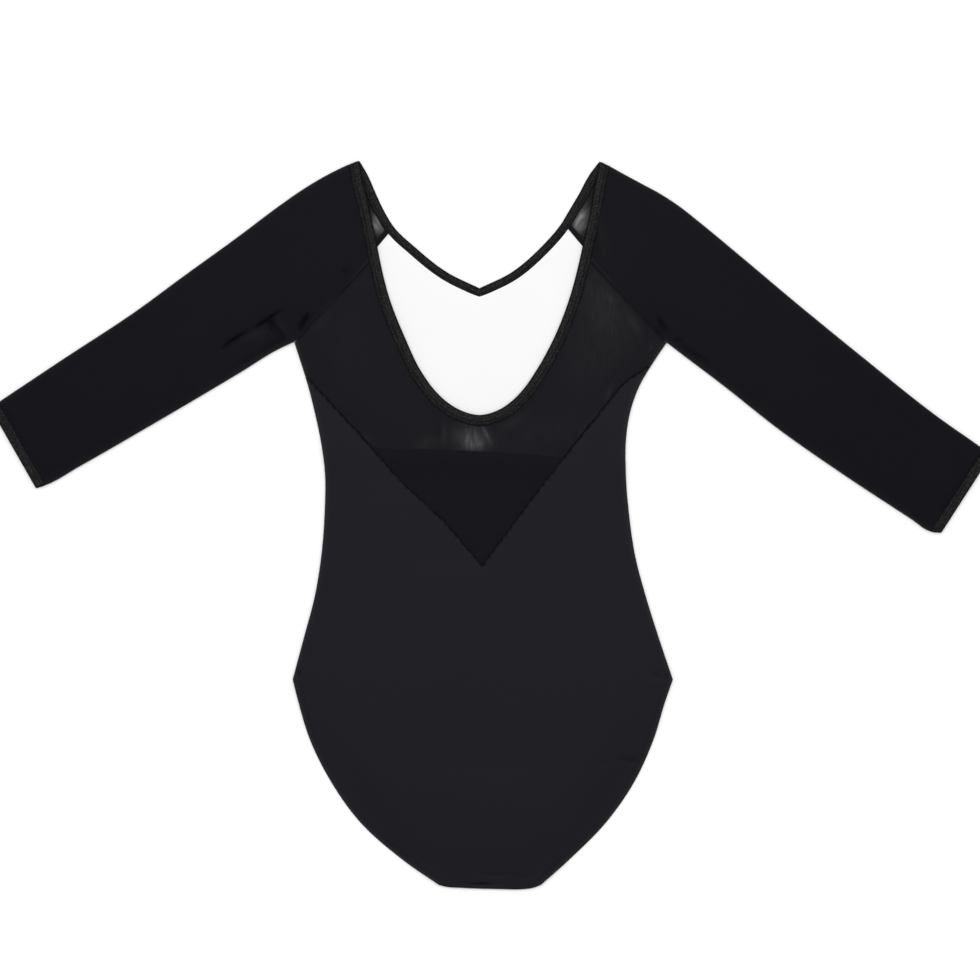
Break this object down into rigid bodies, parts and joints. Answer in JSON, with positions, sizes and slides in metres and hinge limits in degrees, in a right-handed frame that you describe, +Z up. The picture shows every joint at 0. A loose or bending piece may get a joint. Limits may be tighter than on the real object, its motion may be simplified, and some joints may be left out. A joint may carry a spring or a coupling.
{
  "type": "gymnastics leotard",
  "caption": "Leotard laid flat on its front, with three-quarter raglan mesh sleeves, a scooped back neck, a V front neck, a mesh back yoke and a white half lining.",
  "frame": {"origin": "centre of the garment's footprint, on the surface that it lies on", "axes": "+Y towards the neck, +X along the sleeve that is on the right seen from above, +Z up, out of the back of the garment"},
  "size_m": [0.9306, 0.6775, 0.006],
  "materials": {
    "body_knit": "opaque nylon and spandex knit, matt with a faint sheen",
    "mesh": "sheer stretch mesh",
    "lining_knit": "smooth white tricot",
    "elastic": "ribbed matt elastic"
  },
  "bodies": {
    "root": {"front_panel": "body_knit", "front_lining": "lining_knit", "back_panel": "body_knit", "back_yoke": "mesh", "sleeve_left": "mesh", "sleeve_right": "mesh", "cuff_left": "elastic", "cuff_right": "elastic", "neck_binding": "elastic"}
  },
  "joints": []
}
